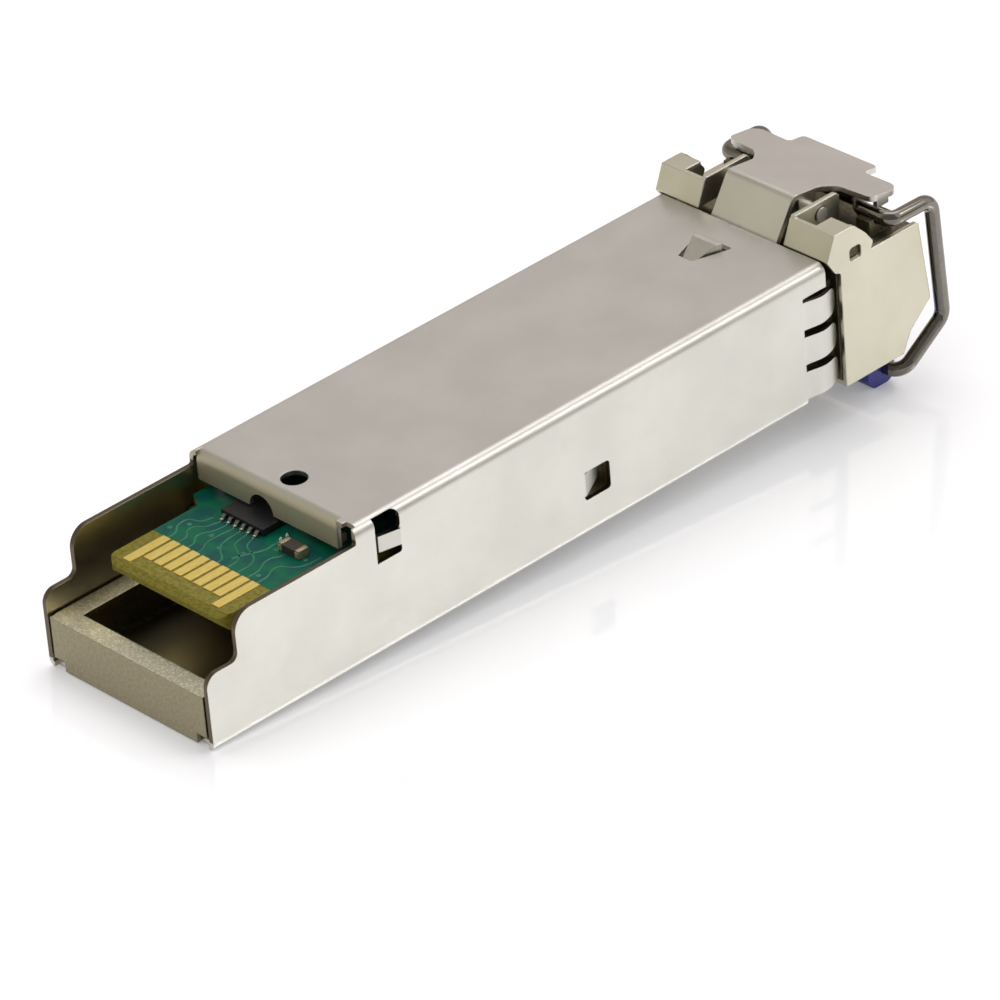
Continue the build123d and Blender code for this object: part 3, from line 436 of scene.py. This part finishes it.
# Solder at the feet, and on two test points beside the driver.
TEST_POINTS = [(1.36 * MM, -34.55 * MM), (1.32 * MM, -34.04 * MM)]
FOOT_INSET = 0.12 * MM
SOLDER_HALF = (0.13 * MM, 0.15 * MM)
SOLDER_HEIGHT = 0.15 * MM
foot_rows = (low_corner[1] + FOOT_INSET, high_corner[1] - FOOT_INSET)
foot_places = [(x, y) for y in foot_rows for x in leg_x]
solder_places = np.array(foot_places + TEST_POINTS)
solder_radii = np.full(solder_places.shape, SOLDER_HALF)
points, faces = domes(solder_places, solder_radii, CARD_TOP - SUNK, SOLDER_HEIGHT)
piece_from("leg_solder", points, faces, tin, "module")


# Chip capacitors and resistors: sintered blocks with a metal cap wrapped round each end,
# soldered flat to the card.

# Dark brown ceramic, and black glaze on alumina, both with a fine fired grain of 0.1 mm.
ceramic = finish_material("brown_fired_ceramic", lambda tree: add(
    tree, "BsdfPrincipled", grained(tree, "#3b2f26", "#2e241d", 0.1, (0.35, 0.5), 0.004)
))
glaze = finish_material("black_resistor_glaze", lambda tree: add(
    tree, "BsdfPrincipled", grained(tree, "#17171a", "#26262a", 0.1, (0.2, 0.35), 0.003)
))
dress(ceramic, "chip_capacitors")
dress(glaze, "chip_resistors")

CAPACITORS = [
    (2.9, -35.0), (3.4, -32.7), (-4.3, -32.5), (-3.2, -24.6), (2.6, -25.3), (-3.6, -17.7),
]
CAPACITOR_SIZE = (1.6, 0.8, 0.5)
RESISTORS = [
    (3.2, -30.5), (3.2, -29.5), (-4.2, -30.1), (-1.0, -28.7),
    (0.6, -28.7), (-3.4, -21.3), (-3.4, -20.1),
]
RESISTOR_SIZE = (1.0, 0.5, 0.35)
CAP_PROUD = 0.02 * MM
CAP_LAP = 0.28 * MM
CAP_LENGTH = 0.3 * MM
CAP_SIDES = 24


def end_caps(centres, block_size):
    """Caps on both ends of each block, 0.02 mm proud of it. Each goes along the block from its
    rim, which is turned in to 0.85, to its closed end; its section is the superellipse
    |y|^8 + |z|^8 = 1, which shrinks to three quarters over the last tenth as the square root of
    1 - t^2 does."""
    length, width, height = (s * MM for s in block_size)
    u = np.array([0, 0, 0.3, 0.6, 0.9, 0.95, 0.98, 1.0])
    size = np.sqrt(1 - np.clip((u - 0.9) / 0.1, 0, 1) ** 2) * 0.25 + 0.75
    size[0] = 0.85
    angle = np.linspace(0, 2 * math.pi, CAP_SIDES, endpoint=False)
    turn = np.stack([np.cos(angle), np.sin(angle)], axis=1)
    turn /= (np.abs(turn) ** 8).sum(1)[:, None] ** (1 / 8)
    across = (width / 2 + CAP_PROUD) * turn[None, :, 0] * size[:, None]
    upright = height / 2 + (height / 2 + CAP_PROUD) * turn[None, :, 1] * size[:, None]
    reach = (length / 2 - CAP_LAP + u * CAP_LENGTH)[:, None] + 0 * across
    ring = np.stack([reach, across, upright], axis=-1)
    both = np.stack([ring, ring * [-1, -1, 1]])
    c = np.column_stack([np.array(centres) * MM, np.full(len(centres), CARD_TOP)])
    points = both[None] + c[:, None, None, None, :]
    per_cap = u.size * CAP_SIDES
    start = np.arange(2 * len(centres))[:, None, None] * per_cap
    walls = (grid_faces(u.size, CAP_SIDES, True)[None] + start).reshape(-1, 4)
    ends = per_cap - CAP_SIDES + np.arange(CAP_SIDES)[None] + start[:, 0]
    return points.reshape(-1, 3), list(walls) + list(ends)


# Caps of fired silver under old tin: cream, half matt.
cap_tin = finish_material("fired_silver_end_caps", lambda tree: add(tree, "BsdfPrincipled", {
    **grained(tree, "#b8ad92", "#a19678", 0.1, (0.35, 0.5), 0.004), "Metallic": 0.6,
}))
points, faces = end_caps(CAPACITORS, CAPACITOR_SIZE)
piece_from("capacitor_caps", points, faces, cap_tin, "module")
points, faces = end_caps(RESISTORS, RESISTOR_SIZE)
piece_from("resistor_caps", points, faces, cap_tin, "module")


# Optics: sealed cans in turned barrels, ceramic sleeves and stubs, amber flexes to the card,
# and the moulded clamp over the barrels. The barrels are pressed into the nose block.

# Gold-flashed steel can: warm, with turning lines round its axis.
flash = finish_material("gold_flashed_can", lambda tree: add(tree, "BsdfPrincipled", {
    **grained(tree, "#d9c48a", "#c4ad72", 0.08, (0.22, 0.32), 0.004, stretch=(6, 1, 6)),
    "Metallic": 1.0,
}))
dress(flash, "transmitter_can", "receiver_can")

# Turned stainless steel: silver, with rings 0.06 mm apart from the tool.
stainless = finish_material("turned_stainless_steel", lambda tree: add(tree, "BsdfPrincipled", {
    **grained(tree, "#c9c8c4", "#b3b2ae", 0.06, (0.2, 0.34), 0.006, stretch=(8, 1, 8)),
    "Metallic": 1.0,
}))
dress(stainless, "transmitter_barrel", "receiver_barrel")

# Polished zirconia: white, glossy, very slightly cloudy.
zirconia = finish_material("polished_zirconia", lambda tree: add(
    tree, "BsdfPrincipled", grained(tree, "#f1eee4", "#e6e2d6", 0.5, (0.1, 0.16), 0.001)
))
dress(zirconia, "transmit_sleeve", "receive_sleeve", "transmit_stub", "receive_stub")

# Amber polyimide film over copper tracks that run along the flex.
polyimide = finish_material("amber_polyimide_flex", lambda tree: add(
    tree, "BsdfPrincipled",
    grained(tree, "#a5601c", "#7b4310", 0.35, (0.25, 0.35), 0.008, stretch=(1, 12, 12)),
))
dress(polyimide, "transmit_flex", "receive_flex")

# Black glass-filled nylon: matt, with a moulded grit of 0.12 mm.
nylon = finish_material("black_glass_filled_nylon", lambda tree: add(
    tree, "BsdfPrincipled", grained(tree, "#232325", "#19191b", 0.12, (0.5, 0.6), 0.012, edge=0.08)
))
dress(nylon, "optics_clamp")


# Nose block: a zinc casting with the two plug ports. Its rear end lies inside the case, and the
# nose frame wraps its front.

# Nickel over untumbled zinc, grained like the mould; its dark grey with an olive cast is painted
# shade.
casting_with_painted_shade = finish_material("nickel_on_rough_zinc_casting_with_painted_shade", lambda tree: add(
    tree, "BsdfPrincipled", {
        **grained(tree, "#7c7763", "#68634f", 0.16, (0.4, 0.55), 0.015, edge=0.1),
        "Metallic": 1.0,
    },
))
dress(casting_with_painted_shade, "receptacle_body")


# Case: 0.3 mm steel strip, stamped, folded to a channel and nickel plated. The label plate
# slides between its bottom flanges, and the spring fingers at the nose touch the cage.

WALL_INSIDE = 6.38 * MM
LID_INSIDE = 7.5 * MM
CUT_LOW, CUT_HIGH = 0.5 * MM, 7.8 * MM
BEND_FULL, BEND_END = 0.3 * MM, 0.4 * MM
LIP_AHEAD = -33 * MM
LIP_LOW = 6.6 * MM
OUTWARD = 3 * MM


def case_surface(tree):
    """Satin outside; the sheared edges are brownish, the inner side is painted darker and yellower
    as painted shade, the bottom bends carry a painted highlight, and the rear lip's faces that
    look back are matt and toned darker and warmer. A point of a side wall faces inwards where x
    times the normal's x is below -3 mm, a point of the lid where it looks down from above 7.5 mm,
    and a sheared edge lies beyond the walls' inner face and looks along the wall."""
    surface = satin_nickel(tree, "#d6d5cf", "#cdccc6", 0.33)
    place = add(tree, "TexCoord", out="Object")
    x, y, z = add(tree, "SeparateXYZ", {0: place}, None).outputs
    normal = add(tree, "NewGeometry", out="True Normal")
    turned = add(tree, "SeparateXYZ", {0: normal}, None).outputs
    outward = add(tree, "Math", {0: x, 1: turned["X"]}, operation="MULTIPLY")
    # Painted shade on the inner side of the walls and lid.
    side_in = add(tree, "Math", {0: outward, 1: -OUTWARD}, operation="LESS_THAN")
    looks_down = add(tree, "Math", {0: turned["Z"], 1: -0.5}, operation="LESS_THAN")
    high_up = add(tree, "Math", {0: z, 1: LID_INSIDE}, operation="GREATER_THAN")
    lid_in = add(tree, "Math", {0: looks_down, 1: high_up}, operation="MULTIPLY")
    painted_inner_shade = add(tree, "Math", {0: side_in, 1: lid_in}, operation="MAXIMUM")
    away = add(tree, "Math", {0: x}, operation="ABSOLUTE")
    in_wall = add(tree, "Math", {0: away, 1: WALL_INSIDE}, operation="GREATER_THAN")
    sideways = add(tree, "Math", {0: turned["X"]}, operation="ABSOLUTE")
    along_wall = add(tree, "Math", {0: sideways, 1: 0.4}, operation="LESS_THAN")
    off_floor = add(tree, "Math", {0: z, 1: CUT_LOW}, operation="GREATER_THAN")
    off_lid = add(tree, "Math", {0: z, 1: CUT_HIGH}, operation="LESS_THAN")
    band = add(tree, "Math", {0: off_floor, 1: off_lid}, operation="MULTIPLY")
    wall_end = add(tree, "Math", {0: in_wall, 1: along_wall}, operation="MULTIPLY")
    cut = add(tree, "Math", {0: wall_end, 1: band}, operation="MULTIPLY")
    # Painted highlight along the bottom bends.
    faces_out = add(tree, "Math", {0: outward, 1: OUTWARD}, operation="GREATER_THAN")
    at_bend = add(tree, "MapRange", {"Value": z, "From Min": BEND_END, "From Max": BEND_FULL})
    painted_bend_highlight = add(tree, "Math", {0: faces_out, 1: at_bend}, operation="MULTIPLY")
    # The rear lip's faces that look back: matt, and toned darker and warmer.
    behind = add(tree, "Math", {0: y, 1: LIP_AHEAD}, operation="LESS_THAN")
    above_card = add(tree, "Math", {0: z, 1: LIP_LOW}, operation="GREATER_THAN")
    at_lip = add(tree, "Math", {0: behind, 1: above_card}, operation="MULTIPLY")
    looks_back = add(tree, "MapRange", {"Value": turned["Y"], "From Min": -0.2, "From Max": -0.9})
    lip = add(tree, "Math", {0: at_lip, 1: looks_back}, operation="MULTIPLY")
    matt = add(tree, "Mix", {0: lip, 2: surface["Roughness"], 3: 0.6})
    tone = surface["Base Color"]
    for share, colour in (
        (painted_inner_shade, "#bbb296"), (lip, "#cdc7b2"), (cut, "#675d4f"), (painted_bend_highlight, "#fbfaf6"),
    ):
        tone = add(tree, "Mix", {0: share, 6: tone, 7: linear(colour)}, 2, data_type="RGBA")
    return add(tree, "BsdfPrincipled", {**surface, "Base Color": tone, "Roughness": matt})


# Satin nickel on strip: soft, faintly lined, nearly neutral, with a painted highlight on its edges.
dress(finish_material("satin_nickel_on_case_sheet", case_surface), "outer_shell")


# Nose frame: sheet steel wrapped round the nose block, with the two leaning stop ears folded
# in at the top. Its nickel is thinner than the case's, and warmer.
# Its wider edge widens the rounding and the painted highlight along its sheet edges.
frame_nickel = finish_material("satin_nickel_on_nose_frame", lambda tree: add(
    tree, "BsdfPrincipled", satin_nickel(tree, "#d2cebd", "#c9c5b2", 0.34, edge=0.12)
))
dress(frame_nickel, "nose_frame")


# Latch: the stamped rocker, plated like the case, which pivots between the inner ear flanges,
# and the leaf of bare spring steel under its arm, with fine draw marks across.
rocker_nickel = finish_material("satin_nickel_on_latch_rocker", lambda tree: add(
    tree, "BsdfPrincipled", satin_nickel(tree, "#dad7d0", "#d2cfc8", 0.34)
))
dress(rocker_nickel, "latch_rocker")
spring_steel = finish_material("bare_spring_steel", lambda tree: add(tree, "BsdfPrincipled", {
    **grained(tree, "#a9a8a6", "#8f8e8c", 0.05, (0.2, 0.35), 0.003, stretch=(10, 1, 1)),
    "Metallic": 1.0,
}))
dress(spring_steel, "latch_spring")


# Bail: round wire of 0.9 mm, drawn bright and nickel plated, bent to a loop with a crank
# between its journals. It snaps into the nose block's cradles.

WIRE_RADIUS = 0.448 * MM
BAIL_SIDE = np.array([
    (0.4, 8.3, -1.4), (6.6, 8.3, -1.4), (6.6, 11.9, 0.9), (6.6, 11.35, 8.8),
    (6.6, 8.0, 8.85), (4.3, 8.0, 8.85), (3.6, 8.65, 8.85),
])
BEND_RADII = np.array([0.9, 0.9, 0.9, 0.675, 0.6, 0.6])


def bent_line(corners, radii, steps=14):
    """Points along straight runs joined by arcs. At a corner b with unit runs p and q to its
    neighbours, which meet at the angle w, the arc's middle is b + (p + q) r / (|p + q| sin(w / 2)),
    and its points go evenly from one touching point to the other."""
    b, r = corners[1:-1], radii[:, None]
    p = (corners[:-2] - b) / np.linalg.norm(corners[:-2] - b, axis=1)[:, None]
    q = (corners[2:] - b) / np.linalg.norm(corners[2:] - b, axis=1)[:, None]
    half = np.arccos(np.clip((p * q).sum(1), -1, 1))[:, None] / 2
    middle = b + (p + q) / np.linalg.norm(p + q, axis=1)[:, None] * r / np.sin(half)
    first, last = b + p * r / np.tan(half) - middle, b + q * r / np.tan(half) - middle
    swing = (math.pi - 2 * half)[:, None]
    t = np.linspace(0, 1, steps)[None, :, None]
    arcs = np.sin((1 - t) * swing) * first[:, None] + np.sin(t * swing) * last[:, None]
    arcs = middle[:, None] + arcs / np.sin(swing)
    return np.vstack([corners[:1], arcs.reshape(-1, 3), corners[-1:]])


def round_wire(line, radius, sides=24):
    """A circle carried along a line, square to it. Its first axis is square to a direction k that
    the line never takes, so it turns smoothly."""
    k = (0.5, -0.6, 0.62)
    ahead = np.gradient(line, axis=0)
    ahead /= np.linalg.norm(ahead, axis=1)[:, None]
    first = np.cross(ahead, k)
    first /= np.linalg.norm(first, axis=1)[:, None]
    second = np.cross(ahead, first)
    angle = np.linspace(0, 2 * math.pi, sides, endpoint=False)[None, :, None]
    around = np.cos(angle) * first[:, None] + np.sin(angle) * second[:, None]
    points = line[:, None] + radius * around
    ends = [np.arange(sides)[::-1], (len(line) - 1) * sides + np.arange(sides)]
    return points.reshape(-1, 3), list(grid_faces(len(line), sides, True)) + ends


# Bright nickel over drawn steel, its colour painted grey as painted shade: a dim mirror, so the
# wire is dark in its middle and light at its edges. Drawing leaves faint marks of 0.3 mm.
bright_nickel = finish_material("bright_nickel_on_drawn_wire", lambda tree: add(
    tree, "BsdfPrincipled", {
        **grained(tree, "#87837c", "#7f7b75", 0.3, (0.06, 0.1), 0.0002, edge=0.01),
        "Metallic": 1.0,
    },
))
corners = np.vstack([BAIL_SIDE, BAIL_SIDE[::-1] * [-1, 1, 1]])
radii = np.concatenate([BEND_RADII, BEND_RADII[::-1]])
points, faces = round_wire(bent_line(corners, radii) * MM, WIRE_RADIUS)
wire = piece_from("bent_bail_wire", points, faces, bright_nickel, "bail")
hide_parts("bail_wire")


# Grip: a pull of deep blue polypropylene moulded over the wire's crossbar.

# Moulded polypropylene: satin, from a fine spark-eroded mould with a grit of 0.1 mm.
polypropylene = finish_material("deep_blue_polypropylene", lambda tree: add(
    tree, "BsdfPrincipled", grained(tree, "#2d30a2", "#25278a", 0.1, (0.25, 0.35), 0.003, edge=0.1)
))
dress(polypropylene, "bail_grip")


# Floor: a sheet of white acrylic. The module stands on its rear bottom edge and on the grip,
# so the floor falls away by 2.4 mm over 53 mm towards the nose.
FLOOR_REAR = (-45.0 * MM, -0.02 * MM)
FLOOR_FRONT = (7.85 * MM, -2.42 * MM)
slope = (FLOOR_FRONT[1] - FLOOR_REAR[1]) / (FLOOR_FRONT[0] - FLOOR_REAR[0])
FLOOR_REACH = 1.5
across = np.array([-1, 1, 1, -1]) * FLOOR_REACH
ahead = np.array([-1, -1, 1, 1]) * FLOOR_REACH
corners = np.stack([across, ahead, FLOOR_REAR[1] + slope * (ahead - FLOOR_REAR[0])], axis=1)
floor_mesh = bpy.data.meshes.new("floor")
floor_mesh.from_pydata(corners.tolist(), [], [(0, 1, 2, 3)])
floor = bpy.data.objects.new("floor", floor_mesh)
bpy.context.scene.collection.objects.link(floor)


def acrylic_surface(tree):
    """Matt white with a mirror on top, which is weak for the eye and stronger in the metal's
    own reflections, as they meet the sheet at a flat angle. It is lifted to white for both."""
    matt = add(tree, "BsdfDiffuse", {"Color": (0.86, 0.86, 0.87, 1)})
    mirror = add(tree, "BsdfGlossy", {"Color": (1, 1, 1, 1), "Roughness": 0.08})
    rays = add(tree, "LightPath", None, None).outputs
    share = add(tree, "MapRange", {"Value": rays["Is Glossy Ray"], "To Min": 0.1, "To Max": 0.5})
    sheen = add(tree, "MixShader", {0: share, 1: matt, 2: mirror})
    bounced = add(tree, "Math", {
        0: rays["Is Glossy Ray"], 1: rays["Is Transmission Ray"],
    }, operation="ADD")
    watched = add(tree, "Math", {0: rays["Is Camera Ray"], 1: bounced}, operation="ADD")
    lift = add(tree, "Math", {0: watched, 1: 0.2}, operation="MULTIPLY")
    glow = add(tree, "Emission", {"Color": (1, 1, 1, 1), "Strength": lift})
    return add(tree, "AddShader", {0: sheen, 1: glow})


# White acrylic: it shows the module's underside faintly, and soft shadows beside it.
floor_mesh.materials.append(finish_material("white_acrylic_sheet", acrylic_surface))


# Light: a pale room, brightest above the module's far side, a small softbox ahead of the nose
# and a wide one overhead. Metal sees a room of its own, whose toned patches stand for the
# studio's cards and flags, and the eye sees white.
world = bpy.data.worlds.new("pale_room")
bpy.context.scene.world = world
world.use_nodes = True
tree = world.node_tree
direction = add(tree, "TexCoord", out="Generated")


def toned(tone, patches):
    """The tone, changed round each patch's middle direction: start and end are the cosines of
    the angles at which a patch begins and is full."""
    for middle, start, end, colour in patches:
        near = add(tree, "VectorMath", {0: direction, 1: middle}, "Value", operation="DOT_PRODUCT")
        share = add(tree, "MapRange", {
            "Value": near, "From Min": start, "From Max": end,
        }, interpolation_type="SMOOTHSTEP")
        tone = add(tree, "Mix", {0: share, 6: tone, 7: colour}, 2, data_type="RGBA")
    return tone


# The room that metal sees. Its patches, in order: olive behind the module's rear, dim high
# above the far side, dark behind the camera, bright ahead of the near wall, and dim along the
# horizon at the right.
room = toned((0.62, 0.56, 0.545, 1), (
    ((-0.74, -0.66, -0.1), 0.2, 0.85, (0.62, 0.59, 0.49, 1)),
    ((-0.62, 0.05, 0.78), 0.80, 0.985, (0.36, 0.34, 0.29, 1)),
    ((0.64, -0.56, 0.53), 0.45, 0.80, (0.26, 0.25, 0.24, 1)),
    ((0.64, 0.56, 0.53), 0.72, 0.90, (0.98, 0.95, 0.89, 1)),
    ((0.88, 0.47, 0.02), 0.93, 0.99, (0.30, 0.28, 0.24, 1)),
))
# The light on matt surfaces: dim and bluish, with one broad bright side.
ceiling = toned((0.30, 0.30, 0.33, 1), (
    ((-0.55, 0.25, 0.80), -0.2, 0.9, (1.15, 1.13, 1.12, 1)),
))
rays = add(tree, "LightPath", None, None).outputs
lit = add(tree, "Mix", {0: rays["Is Glossy Ray"], 6: ceiling, 7: room}, 2, data_type="RGBA")
watched = add(tree, "Math", {
    0: rays["Is Camera Ray"], 1: rays["Is Transmission Ray"],
}, operation="ADD")
seen = add(tree, "Mix", {0: watched, 6: lit, 7: (1, 1, 1, 1)}, 2, data_type="RGBA")
tree.links.new(seen, tree.nodes["Background"].inputs["Color"])


MODULE_MIDDLE = Vector((0, -0.02, 0.004))


def softbox(name, towards, distance, size, power):
    """Square lamp in one direction from the module's middle, turned to it."""
    lamp = bpy.data.lights.new(name, "AREA")
    lamp.size = size
    lamp.energy = power
    holder = bpy.data.objects.new(name, lamp)
    bpy.context.scene.collection.objects.link(holder)
    away = Vector(towards).normalized()
    place = MODULE_MIDDLE + away * distance
    holder.matrix_world = Matrix.LocRotScale(place, away.to_track_quat("Z", "Y"), None)


softbox("softbox_nose", (0.52, 0.56, 0.64), 0.7, 0.18, 0.3)
softbox("softbox_above", (-0.2, 0.35, 0.91), 0.9, 0.6, 1.7)


# Camera: the photograph's angle, 49 degrees round from behind and 32 degrees up, from about
# 385 mm with a long lens. Its lengths are in mm.
AZIMUTH, ELEVATION, ROLL = (math.radians(a) for a in (48.69, 31.64, -4.98))
TARGET = np.array([0.0, -20.0, 4.0])
DISTANCE = 385.4
AIM = (-2.16, 2.48)
SENSOR = 36
FOCAL_PIXELS = 6945
PICTURE_PIXELS = 1000
back = np.array([
    math.sin(AZIMUTH) * math.cos(ELEVATION),
    -math.cos(AZIMUTH) * math.cos(ELEVATION),
    math.sin(ELEVATION),
])
level = np.cross([0, 0, 1], back)
level /= np.linalg.norm(level)
upright = np.cross(back, level)
right = level * math.cos(ROLL) + upright * math.sin(ROLL)
up = upright * math.cos(ROLL) - level * math.sin(ROLL)
spot = (TARGET + back * DISTANCE - right * AIM[0] - up * AIM[1]) * MM
lens = bpy.data.cameras.new("camera")
lens.sensor_width = SENSOR
lens.lens = SENSOR * FOCAL_PIXELS / PICTURE_PIXELS
lens.clip_start = 0.01
camera = bpy.data.objects.new("camera", lens)
bpy.context.scene.collection.objects.link(camera)
rows = np.vstack([np.column_stack([right, up, back, spot]), [0, 0, 0, 1]])
camera.matrix_world = Matrix(rows.tolist())
bpy.context.scene.camera = camera
bpy.context.scene.view_settings.view_transform = "Standard"
